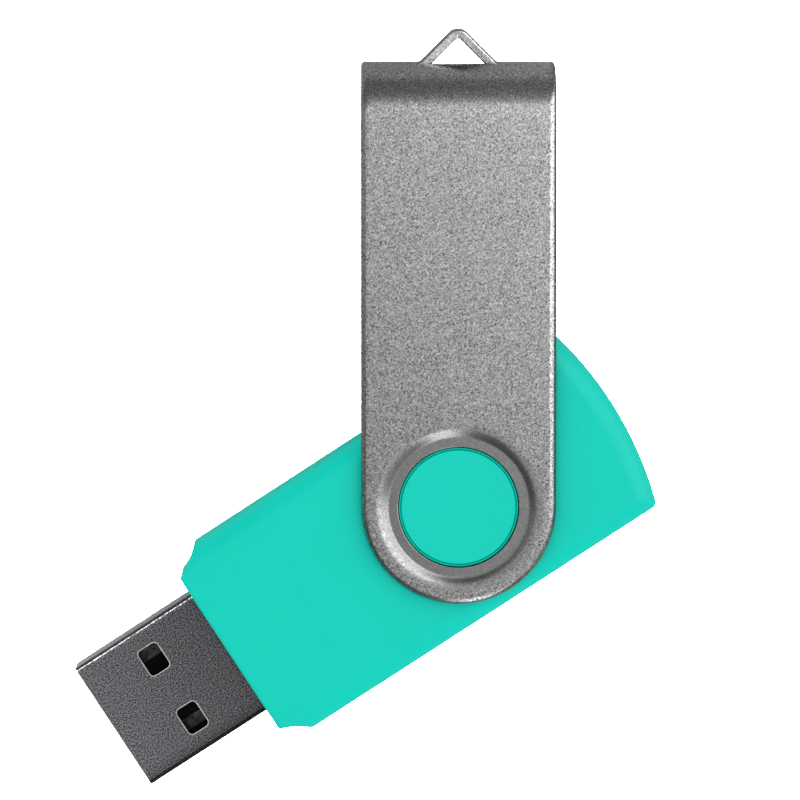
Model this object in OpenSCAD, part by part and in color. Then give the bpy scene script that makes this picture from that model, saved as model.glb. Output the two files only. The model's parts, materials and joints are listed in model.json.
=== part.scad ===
// USB flash drive with a swivelling metal cover.
// Millimetres. The origin is the middle of the plug's mouth. The plug points along +X and the
// upper face of the casing looks along +Z.

/* [Casing] */
// Width of the plastic casing
casing_w = 18.8; // [18.6:0.1:20]
// Thickness of the plastic casing
casing_h = 7.5; // [7.4:0.1:8.5]
// Length of the casing, from its front face to the crown of its rounded end
casing_l = 39.1; // [38.8:0.1:42]
// Thickness of the casing's walls
wall = 1.2; // [1:0.1:1.2]
// Radius of the casing's long edges
edge_r = 1.8; // [1:0.1:2.2]
// Radius of the casing's rounded end, seen from above
end_r = 30; // [25:1:60]
// Length of the cut-away at each front corner
notch_l = 2.4; // [1.5:0.1:2.6]
// Width of the cut-away at each front corner
notch_w = 1.6; // [1:0.1:1.8]
// How far each front corner's cut-away curves inwards from a straight cut
notch_dip = 0.25; // [0.1:0.05:0.3]
// Chamfer where the two halves of the casing meet
seam = 0.15; // [0.05:0.05:0.2]

/* [Plug] */
// Width of the plug's steel shell
plug_w = 12; // [11.9:0.05:12.1]
// Height of the plug's steel shell
plug_h = 4.5; // [4.4:0.05:4.55]
// How far the plug stands out of the casing
plug_reach = 11.95; // [11.7:0.05:12.2]
// Thickness of the shell's steel
shell_t = 0.3; // [0.25:0.05:0.3]
// Outer radius of the shell's folded edges
shell_r = 0.55; // [0.4:0.05:0.7]
// Length of each window in the shell, along the plug
window_l = 1.95; // [1.5:0.05:2.5]
// Width of each window in the shell
window_w = 2.5; // [2:0.1:3]
// Distance from the plug's mouth to the middle of the windows
window_x = 6.15; // [5.2:0.05:6.7]
// Distance between the middles of a pair of windows
window_pitch = 6.04; // [5.5:0.02:6.5]

/* [Swivel] */
// Distance from the pivot to the plug's mouth
pivot_to_mouth = 35.3; // [35:0.1:35.6]
// Radius of the hole in each arm of the cover
hole_r = 5.16; // [4.5:0.01:5.3]
// Gap between the casing's round boss and the cover's hole, on the radius
boss_gap = 0.08; // [0.05:0.01:0.1]
// Gap between the casing's flat face and the dished ring of the cover
ride_gap = 0.05; // [0.03:0.01:0.1]
// Direction in which the cover points, measured from the plug's direction
cover_angle = -123; // [-180:0.1:180]

/* [Cover] */
// Width of the cover
cover_w = 16.6; // [16:0.1:17]
// Distance from the pivot to the outside of the bend
cover_reach = 37.8; // [37.5:0.1:40]
// Thickness of the cover's sheet
sheet_t = 0.8; // [0.7:0.05:0.9]
// Chamfer along the sheet's outer edges
sheet_chamfer = 0.2; // [0.1:0.05:0.3]
// Depth of the dished ring round the hole
dish_depth = 0.4; // [0.3:0.05:0.6]
// Outer radius of the dished ring's flat floor
dish_floor_r = 6; // [5.8:0.1:6.2]
// Radius at which the dished ring meets the arm's outer face
dish_rim_r = 7.2; // [6.8:0.05:7.4]

/* [Lanyard eye] */
// How far the eye stands out from the bend
eye_reach = 2.85; // [2.5:0.05:3.5]
// Height of the strip that forms the eye
eye_h = 2.4; // [2:0.1:4]
// Slope of the eye's legs
eye_slope = 45; // [42:1:50]
// Outer radius of the eye's peak
eye_r = 1.1; // [1:0.05:1.4]

/* [Circuit board] */
// Thickness of the board
board_t = 1; // [0.8:0.1:1]
// Width of the board
board_w = 15.2; // [14.8:0.1:15.4]
// Thickness of the copper pads
pad_t = 0.05; // [0.03:0.01:0.05]
// Distance from the plug's mouth to the board's front edge
board_front = 18.7; // [18.7:0.1:19]
// Distance from the plug's mouth to the board's rear edge
board_back = 48.4; // [48.2:0.1:48.6]

/* [Hidden] */
$fn = 64;

// Colours of the moulded and metal pieces
teal = [0.13, 0.83, 0.75];
satin_aluminium = [0.64, 0.64, 0.65];
plug_steel = [0.4, 0.41, 0.43];
nickel = [0.5, 0.5, 0.51];
gold = [0.83, 0.68, 0.3];
tin = [0.75, 0.76, 0.78];
black_plastic = [0.08, 0.08, 0.09];
board_green = [0.05, 0.35, 0.2];

// Casing: places measured along X and heights measured from the middle plane
casing_front = -plug_reach;
casing_back = casing_front - casing_l;
casing_top = casing_h / 2;
end_x = casing_back + end_r;
cavity_top = casing_top - wall;
cavity_corner = 2;
front_wall = 1.5;
front_chamfer = 0.3;

// How far a cutting shape runs past the solid that it cuts
overlap = 1;

// Pivot, boss and the cover's sheet
pivot_x = -pivot_to_mouth;
boss_r = hole_r - boss_gap;
boss_chamfer = 0.2;
boss_below_ring = 0.1;
ring_inner = casing_top + ride_gap;
ring_outer = ring_inner + sheet_t;
boss_top = ring_outer - boss_below_ring;
arm_inner = ring_inner + dish_depth;
arm_outer = arm_inner + sheet_t;
bend_x = cover_reach - arm_outer;
eye_slot_gap = 0.12;

// Plug: the tongue fills the lower half of the shell and carries the contacts
shell_end = 0.2 - board_front;
shell_inner_w = plug_w - 2 * shell_t;
shell_inner_h = plug_h - 2 * shell_t;
shell_seam = 0.1;
window_r = 0.4;
plug_slot_gap = 0.05;
insulator_gap = 0.05;
tongue_front = -0.6;
tongue_top = -0.11;
block_front = -9;
block_back = shell_end + 0.1;
contact_w = 1;
contact_t = 0.25;
contact_top = 0;
contact_bottom = contact_top - contact_t;
contact_fit = 0.02;
contact_end = -board_front - 2.1;
power_contact_l = 7.41;
data_contact_l = 6.41;
power_contact_y = 3.5;
data_contact_y = 1;

// Legs of the shell, which stand in slots of the board
leg_l = 2.7;
leg_low = -1.7;
leg_high = 0.5;
leg_slot_gap = 0.2;

// Board: heights, and the pegs that pass through notches in its edges
board_top = contact_bottom - pad_t;
board_bottom = board_top - board_t;
peg_xs = [-board_front - 5.1, 1.2 - board_back];
peg_y = 7;
peg_r = 0.7;
peg_fit = 0.05;
peg_notch_r = 0.82;
peg_top = 1.5;
post_r = 1.4;
nose_r = 1.05;
nose_gap = 0.03;

// Chips: the flash memory sits on top of the board, the controller and the crystal below it
chip_standoff = 0.1;
chip_t = 0.9;
lead_pitch = 0.5;
lead_w = 0.22;
lead_t = 0.13;
lead_rise = 0.4;
lead_bend = 1 / 3;
pad_margin = 0.15;
flash_x = -board_front - 17.1;
flash_size = [18.4, 12];
flash_leads = 24;
flash_lead_l = 0.8;
controller_x = -board_front - 14;
controller_size = [7, 7];
controller_leads_per_side = 12;
controller_lead_l = 1;
dimple_r = 0.4;
dimple_depth = 0.1;
dimple_inset = 1;
crystal_x = -board_front - 23.5;
crystal_size = [3.2, 5];
crystal_base_t = 0.4;
crystal_can_t = 0.5;
crystal_can_inset = 0.15;
crystal_can_r = 0.4;

// Small two-ended parts: sizes, and places as [x, y, side of the board]
capacitor_size = [1.6, 0.8, 0.8];
resistor_size = [1.6, 0.8, 0.45];
bead_size = [2, 1.25, 0.85];
end_cap_l = 0.3;
front_row = -board_front - 4.9;
middle_row = -board_front - 7.7;
rear_row = 2.8 - board_back;
capacitor_places = [
    [front_row, -3.4, 1], [front_row, -4.9, 1],
    [middle_row, 3, -1], [middle_row, -3, -1], [rear_row, 3, -1], [rear_row, -3, -1]
];
resistor_places = [[front_row, 1, 1], [front_row, -1, 1], [middle_row, 0, -1], [rear_row, 0, -1]];
bead_places = [[front_row, power_contact_y, 1]];

// Solder over a contact's tail, and how far it runs past the tail's end
solder_l = 1.8;
solder_toe = 0.4;
solder_w = 1.35;
solder_h = 0.4;

// Pads under the contacts' tails and beside the shell's legs, and the legs' solder fillets
contact_pad_l = 2.5;
leg_pad_w = 1.6;
fillet_l = 2;
fillet_w = 0.8;
fillet_h = 0.6;

// A rectangle with rounded corners, centred on the origin
module rounded_box(w, h, r) {
    square([w, h - 2 * r], center = true);
    square([w - 2 * r, h], center = true);
    for (x = [-1, 1], y = [-1, 1])
        translate([x * (w / 2 - r), y * (h / 2 - r)]) circle(r);
}

// Sweeps a section along +X: the section's x becomes Y and its y becomes Z
module along_x(from, to) {
    translate([from, 0, 0]) rotate([90, 0, 90]) linear_extrude(to - from) children();
}

// Turns an upward piece over, so that it points down
module turned_over() {
    mirror([0, 0, 1]) children();
}

// Cross-section of half the casing: chamfered where the halves meet, rounded at the far edges
module half_section(reach) {
    polygon([
        [reach - seam, 0], [reach, seam], [reach, casing_top - edge_r], [reach - edge_r, casing_top],
        [edge_r - reach, casing_top], [-reach, casing_top - edge_r], [-reach, seam], [seam - reach, 0]
    ]);
    for (side = [-1, 1])
        translate([side * (reach - edge_r), casing_top - edge_r]) circle(edge_r);
}

// Upper half of the casing before it is hollowed out
module half_blank() {
    intersection() {
        along_x(casing_back - overlap, casing_front) half_section(casing_w / 2);
        translate([end_x, 0, 0]) rotate_extrude($fn = 256) intersection() {
            half_section(end_r);
            square([end_r, casing_top]);
        }
        rotate([90, 0, 0]) linear_extrude(casing_w, center = true) polygon([
            [casing_back, 0], [casing_front - seam, 0], [casing_front, seam],
            [casing_front, casing_top - front_chamfer], [casing_front - front_chamfer, casing_top],
            [casing_back, casing_top]
        ]);
    }
}

// The rounded cut-away at one front corner: a cylinder through the cut's two ends
module corner_cut() {
    chord = norm([notch_l, notch_w]);
    cut_r = (chord * chord / 4 + notch_dip * notch_dip) / (2 * notch_dip);
    away = (cut_r - notch_dip) / chord;
    translate([
        casing_front - notch_l / 2 + notch_w * away,
        casing_w / 2 - notch_w / 2 + notch_l * away,
        0
    ]) cylinder(h = casing_h, r = cut_r, center = true, $fn = 128);
}

// Plan of the hollow inside the casing
module cavity_plan() {
    front = casing_front - front_wall;
    half_w = casing_w / 2 - wall;
    intersection() {
        polygon([
            [casing_back, -half_w], [front - cavity_corner, -half_w], [front, cavity_corner - half_w],
            [front, half_w - cavity_corner], [front - cavity_corner, half_w], [casing_back, half_w]
        ]);
        translate([end_x, 0]) circle(end_r - wall, $fn = 256);
    }
}

// The opening in the casing's front wall that grips the plug's shell
module plug_slot() {
    along_x(casing_front - front_wall - overlap, casing_front + overlap)
        rounded_box(plug_w + 2 * plug_slot_gap, plug_h + 2 * plug_slot_gap, shell_r + plug_slot_gap);
}

// The round boss that turns in the cover's hole
module boss() {
    translate([pivot_x, 0, 0]) rotate_extrude($fn = 128) polygon([
        [0, cavity_top], [boss_r, cavity_top], [boss_r, boss_top - boss_chamfer],
        [boss_r - boss_chamfer, boss_top], [0, boss_top]
    ]);
}

// Hollow half of the casing with its boss, without posts or sleeves
module half_shell() {
    difference() {
        half_blank();
        translate([0, 0, -overlap]) linear_extrude(cavity_top + overlap) cavity_plan();
        for (side = [0, 1]) mirror([0, side, 0]) corner_cut();
        plug_slot();
    }
    boss();
}

// Places children at each of the four pegs
module at_pegs() {
    for (x = peg_xs, side = [-1, 1])
        translate([x, side * peg_y, 0]) children();
}

// The upper half holds the board down with four sleeves, whose noses reach below the seam
module upper_casing() {
    color(teal) difference() {
        union() {
            half_shell();
            at_pegs() {
                cylinder(h = casing_top - wall / 2, r = post_r);
                translate([0, 0, board_top + nose_gap]) cylinder(h = casing_top, r = nose_r);
            }
        }
        at_pegs() translate([0, 0, -overlap]) cylinder(h = peg_top + 2 * overlap, r = peg_r + peg_fit);
    }
}

// The lower half carries the board on four posts, whose pegs enter the sleeves
module lower_casing() {
    color(teal) {
        turned_over() half_shell();
        at_pegs() translate([0, 0, wall / 2 - casing_top]) {
            cylinder(h = casing_top - wall / 2 + board_bottom, r = post_r);
            cylinder(h = casing_top - wall / 2 + peg_top, r = peg_r);
        }
    }
}

// Cross-section of the cover's sheet, with its outer edges chamfered
module sheet_section() {
    half_w = cover_w / 2;
    polygon([
        [-half_w, 0], [half_w, 0], [half_w, sheet_t - sheet_chamfer], [half_w - sheet_chamfer, sheet_t],
        [sheet_chamfer - half_w, sheet_t], [-half_w, sheet_t - sheet_chamfer]
    ]);
}

// One arm of the cover, from the rounded end round the pivot to the start of the bend
module arm() {
    difference() {
        union() {
            translate([0, 0, arm_inner]) along_x(0, bend_x) sheet_section();
            translate([0, 0, arm_inner]) rotate_extrude(angle = 180, start = 90, $fn = 128) intersection() {
                sheet_section();
                square([cover_w / 2, sheet_t]);
            }
        }
        cylinder(h = 2 * arm_outer, r = dish_rim_r, $fn = 128);
    }
    dished_ring();
}

// The ring pressed down round the hole, which slides on the casing
module dished_ring() {
    under = sheet_t / 4;
    rotate_extrude($fn = 128) polygon([
        [hole_r, ring_inner], [dish_floor_r - under, ring_inner], [dish_rim_r - under, arm_inner],
        [dish_rim_r, arm_inner], [dish_rim_r, arm_outer], [dish_floor_r, ring_outer], [hole_r, ring_outer]
    ]);
}

// The bend that joins the two arms
module bend() {
    translate([bend_x, 0, 0]) rotate([90, 0, 0]) rotate_extrude(angle = 180, start = -90, $fn = 128)
        translate([arm_inner, 0]) rotate(-90) sheet_section();
}

// Distance along the bend from the eye's middle to where a leg of the given radius meets it
function eye_root(r) = r / sin(eye_slope) + (eye_reach - eye_r) / tan(eye_slope);

// Plan of a tent shape: two sloping legs that meet in a rounded peak
module tent(r) {
    peak_x = cover_reach + eye_reach - eye_r;
    foot_x = cover_reach - sheet_t;
    foot_y = eye_root(r) + sheet_t / tan(eye_slope);
    polygon([
        [foot_x, -foot_y], [peak_x + r * cos(eye_slope), -r * sin(eye_slope)],
        [peak_x + r * cos(eye_slope), r * sin(eye_slope)], [foot_x, foot_y]
    ]);
    translate([peak_x, 0]) circle(r);
}

// The eye: a strip of the bend, cut free along both sides and pushed outwards
module lanyard_eye() {
    linear_extrude(eye_h, center = true) difference() {
        tent(eye_r);
        tent(eye_r - sheet_t);
    }
}

// The slot that the strip leaves in the bend
module eye_slot() {
    slot_w = eye_root(eye_r) + eye_root(eye_r - sheet_t);
    translate([bend_x, -slot_w / 2, -eye_h / 2 - eye_slot_gap])
        cube([cover_reach, slot_w, eye_h + 2 * eye_slot_gap]);
}

module swivel_cover() {
    color(satin_aluminium) translate([pivot_x, 0, 0]) rotate(cover_angle) {
        arm();
        turned_over() arm();
        difference() {
            bend();
            eye_slot();
        }
        lanyard_eye();
    }
}

// The windows that lock the plug in a socket
module shell_windows() {
    for (side = [-1, 1])
        translate([-window_x, side * window_pitch / 2, 0])
            linear_extrude(plug_h + overlap, center = true) rounded_box(window_l, window_w, window_r);
}

module plug_shell() {
    color(plug_steel) {
        difference() {
            along_x(shell_end, 0) difference() {
                rounded_box(plug_w, plug_h, shell_r);
                rounded_box(shell_inner_w, shell_inner_h, shell_r - shell_t);
            }
            shell_windows();
            translate([shell_end - overlap, -shell_seam / 2, -plug_h])
                cube([-shell_end + 2 * overlap, shell_seam, plug_h]);
        }
        for (side = [0, 1]) mirror([0, side, 0])
            translate([shell_end - leg_l, shell_inner_w / 2, leg_low])
                cube([leg_l, shell_t, leg_high - leg_low]);
    }
}

// A contact strip along X, grown sideways and downwards by a fit where it cuts a groove
module contact_strip(front, y, fit = 0) {
    translate([contact_end, y - contact_w / 2 - fit, contact_bottom - fit])
        cube([front - contact_end + fit, contact_w + 2 * fit, contact_t + 2 * fit]);
}

module power_contact(side, fit = 0) {
    contact_strip(block_front + power_contact_l, side * power_contact_y, fit);
}

module data_contact(side, fit = 0) {
    contact_strip(block_front + data_contact_l, side * data_contact_y, fit);
}

module vbus_contact() {
    color(nickel) power_contact(1);
}

module data_minus_contact() {
    color(nickel) data_contact(1);
}

module data_plus_contact() {
    color(nickel) data_contact(-1);
}

module ground_contact() {
    color(nickel) power_contact(-1);
}

module plug_insulator() {
    w = shell_inner_w - 2 * insulator_gap;
    h = shell_inner_h - 2 * insulator_gap;
    color(black_plastic) difference() {
        union() {
            along_x(block_back, block_front) rounded_box(w, h, shell_r - shell_t);
            along_x(block_back, tongue_front) intersection() {
                rounded_box(w, h, shell_r - shell_t);
                translate([-w / 2, tongue_top - h]) square([w, h]);
            }
        }
        for (side = [-1, 1]) {
            power_contact(side, contact_fit);
            data_contact(side, contact_fit);
        }
    }
}

module circuit_board() {
    slot_w = shell_t + 2 * leg_slot_gap;
    color(board_green) difference() {
        translate([-board_back, -board_w / 2, board_bottom])
            cube([board_back - board_front, board_w, board_t]);
        at_pegs() cylinder(h = casing_h, r = peg_notch_r, center = true);
        for (side = [0, 1]) mirror([0, side, 0])
            translate([-board_front - leg_l, shell_inner_w / 2 - leg_slot_gap, -casing_top])
                cube([leg_l + overlap, slot_w, casing_h]);
    }
}

// Places children on the given side of the board at pad height, pointing away from it
module on_board(x, y, side) {
    translate([x, y, 0])
        if (side > 0) translate([0, 0, board_top + pad_t]) children();
        else translate([0, 0, board_bottom - pad_t]) turned_over() children();
}

// A row of pitch-spaced leads or pads across Y, centred
module lead_row(count) {
    for (i = [0:count - 1])
        translate([0, (i - (count - 1) / 2) * lead_pitch, 0]) children();
}

// One bent lead that leaves a chip along +X and stands on its pad
module lead(reach) {
    bend = reach * lead_bend;
    rotate([90, 0, 0]) linear_extrude(lead_w, center = true) polygon([
        [0, lead_rise], [bend, lead_rise], [bend, 0], [reach, 0], [reach, lead_t],
        [bend + lead_t, lead_t], [bend + lead_t, lead_rise + lead_t], [0, lead_rise + lead_t]
    ]);
}

// The pad under one lead
module lead_pad(reach) {
    bend = reach * lead_bend;
    translate([bend, -lead_w / 2, -pad_t]) cube([reach - bend + pad_margin, lead_w, pad_t]);
}

// A moulded chip package with a dimple that marks its first lead
module chip_package(size) {
    difference() {
        translate([-size.x / 2, -size.y / 2, chip_standoff]) cube([size.x, size.y, chip_t]);
        translate([dimple_inset - size.x / 2, dimple_inset - size.y / 2, chip_standoff + chip_t])
            cylinder(h = 2 * dimple_depth, r = dimple_r, center = true);
    }
}

// Places children at the two ends of the flash memory, facing outwards
module at_flash_ends() {
    for (turn = [0, 180]) rotate(turn) translate([flash_size.x / 2, 0, 0]) lead_row(flash_leads) children();
}

// Places children along the four sides of the controller, facing outwards
module at_controller_sides() {
    for (turn = [0:90:270]) rotate(turn)
        translate([controller_size.x / 2, 0, 0]) lead_row(controller_leads_per_side) children();
}

module flash_memory_chip() {
    color(black_plastic) on_board(flash_x, 0, 1) chip_package(flash_size);
}

module flash_memory_leads() {
    color(tin) on_board(flash_x, 0, 1) at_flash_ends() lead(flash_lead_l);
}

module controller_chip() {
    color(black_plastic) on_board(controller_x, 0, -1) chip_package(controller_size);
}

module controller_leads() {
    color(tin) on_board(controller_x, 0, -1) at_controller_sides() lead(controller_lead_l);
}

module crystal_base() {
    color([0.35, 0.3, 0.26]) on_board(crystal_x, 0, -1)
        linear_extrude(crystal_base_t) square(crystal_size, center = true);
}

module crystal_can() {
    size = crystal_size - 2 * [crystal_can_inset, crystal_can_inset];
    color(tin) on_board(crystal_x, 0, -1) translate([0, 0, crystal_base_t])
        linear_extrude(crystal_can_t) rounded_box(size.x, size.y, crystal_can_r);
}

// Middle of a two-ended part, lying along X
module passive_body(size) {
    translate([end_cap_l - size.x / 2, -size.y / 2, 0]) cube([size.x - 2 * end_cap_l, size.y, size.z]);
}

// Metal ends of a two-ended part
module passive_ends(size) {
    for (turn = [0, 180]) rotate(turn)
        translate([size.x / 2 - end_cap_l, -size.y / 2, 0]) cube([end_cap_l, size.y, size.z]);
}

// Pads under a two-ended part
module passive_pads(size) {
    for (turn = [0, 180]) rotate(turn)
        translate([size.x / 2 - end_cap_l, -size.y / 2, -pad_t])
            cube([end_cap_l + pad_margin, size.y, pad_t]);
}

// Places children at every listed place
module at_places(places) {
    for (place = places) on_board(place[0], place[1], place[2]) children();
}

module capacitors() {
    color([0.62, 0.5, 0.36]) at_places(capacitor_places) passive_body(capacitor_size);
}

module resistors() {
    color(black_plastic) at_places(resistor_places) passive_body(resistor_size);
}

module ferrite_bead() {
    color([0.25, 0.25, 0.27]) at_places(bead_places) passive_body(bead_size);
}

module passive_end_caps() {
    color(tin) {
        at_places(capacitor_places) passive_ends(capacitor_size);
        at_places(resistor_places) passive_ends(resistor_size);
        at_places(bead_places) passive_ends(bead_size);
    }
}

// Places children at the middle line of each plug contact
module at_contacts() {
    for (y = [-power_contact_y, -data_contact_y, data_contact_y, power_contact_y])
        translate([0, y, 0]) children();
}

// The pads on which the contacts' tails are soldered
module contact_pads() {
    pad_w = solder_w + pad_margin;
    at_contacts() translate([contact_end - solder_toe - pad_margin, -pad_w / 2, board_top])
        cube([contact_pad_l, pad_w, pad_t]);
}

// The pads beside the shell's legs
module leg_pads() {
    for (side = [0, 1]) mirror([0, side, 0])
        translate([-board_front - leg_l, shell_inner_w / 2 - leg_slot_gap - leg_pad_w, board_top])
            cube([leg_l - pad_margin, leg_pad_w, pad_t]);
}

// The two pads under the crystal
module crystal_pads() {
    for (side = [-1, 1])
        translate([0, side * crystal_size.y / 3, -pad_t / 2])
            cube([crystal_size.x, crystal_size.y / 4, pad_t], center = true);
}

module board_pads() {
    color(gold) {
        contact_pads();
        leg_pads();
        on_board(flash_x, 0, 1) at_flash_ends() lead_pad(flash_lead_l);
        on_board(controller_x, 0, -1) at_controller_sides() lead_pad(controller_lead_l);
        on_board(crystal_x, 0, -1) crystal_pads();
        at_places(capacitor_places) passive_pads(capacitor_size);
        at_places(resistor_places) passive_pads(resistor_size);
        at_places(bead_places) passive_pads(bead_size);
    }
}

module contact_solder() {
    from = contact_end - solder_toe;
    top_w = contact_w / 2;
    color(tin) difference() {
        at_contacts() along_x(from, from + solder_l) polygon([
            [-solder_w / 2, contact_bottom], [solder_w / 2, contact_bottom],
            [top_w / 2, contact_bottom + solder_h], [-top_w / 2, contact_bottom + solder_h]
        ]);
        for (side = [-1, 1]) {
            power_contact(side);
            data_contact(side);
        }
    }
}

// Solder fillet between the inside of each shell leg and its pad
module shell_solder() {
    from = shell_end - leg_l + pad_margin;
    pad_top = board_top + pad_t;
    color(tin) for (side = [0, 1]) mirror([0, side, 0])
        along_x(from, from + fillet_l) polygon([
            [shell_inner_w / 2, pad_top], [shell_inner_w / 2, pad_top + fillet_h],
            [shell_inner_w / 2 - fillet_w, pad_top]
        ]);
}

upper_casing();
lower_casing();
swivel_cover();
plug_shell();
plug_insulator();
vbus_contact();
data_minus_contact();
data_plus_contact();
ground_contact();
circuit_board();
board_pads();
flash_memory_chip();
flash_memory_leads();
controller_chip();
controller_leads();
crystal_base();
crystal_can();
capacitors();
resistors();
ferrite_bead();
passive_end_caps();
contact_solder();
shell_solder();
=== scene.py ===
"""Looks of a flash drive with a swivelling sheet-metal cover.

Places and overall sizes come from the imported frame. Meshes are built in millimetres and shrunk to metres
when they are finished.
"""

import json
import math

import bmesh
import bpy
from mathutils import Matrix, Vector


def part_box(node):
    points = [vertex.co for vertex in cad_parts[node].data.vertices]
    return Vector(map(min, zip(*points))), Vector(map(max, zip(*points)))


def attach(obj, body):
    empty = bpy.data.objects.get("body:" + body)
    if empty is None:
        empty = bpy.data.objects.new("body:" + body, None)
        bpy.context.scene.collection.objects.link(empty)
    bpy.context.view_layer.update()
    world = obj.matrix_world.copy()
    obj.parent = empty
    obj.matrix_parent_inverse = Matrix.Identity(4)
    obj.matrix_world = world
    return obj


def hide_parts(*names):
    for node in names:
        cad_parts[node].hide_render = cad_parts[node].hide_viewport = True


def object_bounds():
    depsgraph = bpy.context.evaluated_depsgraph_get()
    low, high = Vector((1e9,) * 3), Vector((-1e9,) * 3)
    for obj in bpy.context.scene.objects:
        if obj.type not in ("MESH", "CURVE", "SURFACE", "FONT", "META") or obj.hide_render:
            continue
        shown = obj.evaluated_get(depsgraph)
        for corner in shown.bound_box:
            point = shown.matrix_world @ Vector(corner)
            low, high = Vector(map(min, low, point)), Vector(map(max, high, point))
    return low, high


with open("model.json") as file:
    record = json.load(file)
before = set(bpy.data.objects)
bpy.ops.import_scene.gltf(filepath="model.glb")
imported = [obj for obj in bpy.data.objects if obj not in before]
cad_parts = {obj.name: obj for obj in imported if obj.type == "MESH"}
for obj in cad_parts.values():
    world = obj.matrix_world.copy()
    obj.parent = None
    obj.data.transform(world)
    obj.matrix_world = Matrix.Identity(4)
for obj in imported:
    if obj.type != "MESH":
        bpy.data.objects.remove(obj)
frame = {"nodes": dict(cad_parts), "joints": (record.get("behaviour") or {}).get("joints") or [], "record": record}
cad_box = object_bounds()

MM = 0.001
record = frame["record"]


def box_mm(node):
    """Lowest and highest corners of a CAD node, in millimetres."""
    low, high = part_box(node)
    return low / MM, high / MM


casing_low, casing_high = box_mm("upper_casing")
_, lower_casing_high = box_mm("lower_casing")
_, cover_high = box_mm("swivel_cover")
shell_low, shell_high = box_mm("plug_shell")
board_low, board_high = box_mm("circuit_board")
pivot = Vector(frame["joints"][0]["pos_m"]) / MM
lanyard_eye = next(mount for mount in record["mounts"] if mount["name"] == "lanyard_eye")
cover_along = (Vector(lanyard_eye["pos_m"]) / MM - pivot).normalized()

# Sizes below are in millimetres. _R is a radius, _W a width, _L a length, _H a height and _T a thickness.

# How far a cutting tool reaches past what it cuts, and a difference that counts as none
OVERCUT = 1
TINY = 1e-6

# Angles in degrees. Edges below the first two are shaded smooth. The shell's edges above the second and a
# CAD node's above the third are rounded. Faces of a CAD node that differ by less than the last are joined.
CASING_SMOOTH = 40
METAL_SMOOTH = 50
CAD_SHARP = 40
CAD_FLAT = 1

# Casing
CASING_FRONT = casing_high.x
CASING_BACK = casing_low.x
CASING_HALF_W = casing_high.y
BOSS_TOP = casing_high.z
BOSS_RISE = 0.75
CASING_TOP = BOSS_TOP - BOSS_RISE
WALL = 1.2
FRONT_WALL = 1.5
EDGE_R = 1.8
END_R = 30
END_X = CASING_BACK + END_R
FRONT_EDGE_R = 0.3
SEAM = 0.15
NOTCH_L = 2.4
NOTCH_W = 1.6
NOTCH_DIP = 0.25
NOTCH_EDGE_R = 0.2
# Half of the outline: bends between its front, notch, side and end, and the points along each of these
OUTER_BENDS = (0.3, 0.3, 0.45)
FLAT_BENDS = (0.15, 0.15, 0.4)
OUTLINE_COUNTS = (8, 10, 14, 16)
CORNER_COUNT = 5
EDGE_STEPS = 10
CAVITY_TOP = CASING_TOP - WALL
CAVITY_CORNER = 2
CAVITY_END_CORNER = 0.3
BOSS_R = 5.08
BOSS_SIDES = 128
BOSS_EDGE_R = 0.06
BOSS_GROOVE_R = 4.92
BOSS_GROOVE_W = 0.18
BOSS_GROOVE_DEPTH = 0.25

# Posts, sleeves and pegs between the casing's halves
PEG_FROM_BOARD_FRONT = 5.1
PEG_FROM_BOARD_BACK = 1.2
PEG_XS = (board_high.x - PEG_FROM_BOARD_FRONT, board_low.x + PEG_FROM_BOARD_BACK)
PEG_Y = 7
PEG_R = 0.7
PEG_HOLE_R = 0.75
PEG_TOP = lower_casing_high.z
PEG_BEVEL = 0.15
PEG_HEADROOM = 1
POST_R = 1.4
POST_SIDES = 48
NOSE_R = 1.05
NOSE_LOW = casing_low.z

# Cover: one strip of sheet
COVER_HALF_W = cover_high.y - pivot.y
COVER_REACH = 37.8
COVER_OUT = cover_high.z
SHEET_T = 0.8
BEND_MID_R = COVER_OUT - SHEET_T / 2
BEND_HALF_L = BEND_MID_R * math.pi / 2
BEND_X = COVER_REACH - COVER_OUT
PIVOT_U = BEND_HALF_L + BEND_X
HOLE_R = 5.16
DISH_DEPTH = 0.4
DISH_FLOOR_R = 5.92
DISH_RIM_R = 7.27
# Shape of the dish's wall, a soft S: its main curve, and the swell that rounds its foot
DISH_POWER = 2.2
DISH_SWELL = 0.37
DISH_SWELL_POWER = 6
# Radii of the sheet's edges: outer on the arms, outer on the bend, inner, and round the holes and slots
SHEET_EDGE = 0.6
BEND_EDGE = 0.3
INNER_EDGE = 0.12
HOLE_EDGE = 0.05
# Between the last ring of patches on the dish's floor and its wall
RING_GAP = 0.05
# Patches along the bend, the arm, its round end and its sides, and from the hole out to the rim
BEND_STEPS = 22
ARM_STEPS = 16
ROUND_END_STEPS = 48
SIDE_STEPS = 12
RING_STEPS = 4
WALL_STEPS = 14

# Eye: a strip of the bend, pushed out into a tent
EYE_H = 2.4
EYE_GAP = 0.12
EYE_RISE = 2.85
EYE_PEAK_R = 0.7
EYE_FOOT_R = 1.0
EYE_EDGE = 0.2
EYE_SLOPE = math.pi / 4
EYE_STEPS = 8
EYE_ROOT_COLUMNS = 6
EYE_SIDE_COLUMNS = 7

# Plug
PLUG_HALF_W = shell_high.y
PLUG_HALF_H = shell_high.z
SHELL_T = 0.3
SHELL_R = 0.55
SHELL_CORNER_STEPS = 10
SHELL_LEG_L = 2.7
SHELL_LEG_LOW = -1.7
SHELL_LEG_HIGH = 0.5
SHELL_LEG_OVERLAP = 0.5
SHELL_SEAM = 0.1
SHELL_SEAM_OVERCUT = 0.2
SHELL_EDGE = 0.18
PLUG_GAP = 0.05
WINDOW_X = -6.15
WINDOW_L = 1.95
WINDOW_W = 2.5
WINDOW_R = 0.4
WINDOW_PITCH = 6.04

# Rounded edges of the pieces inside, which are carried over from the CAD
CAD_EDGE = 0.03

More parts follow.
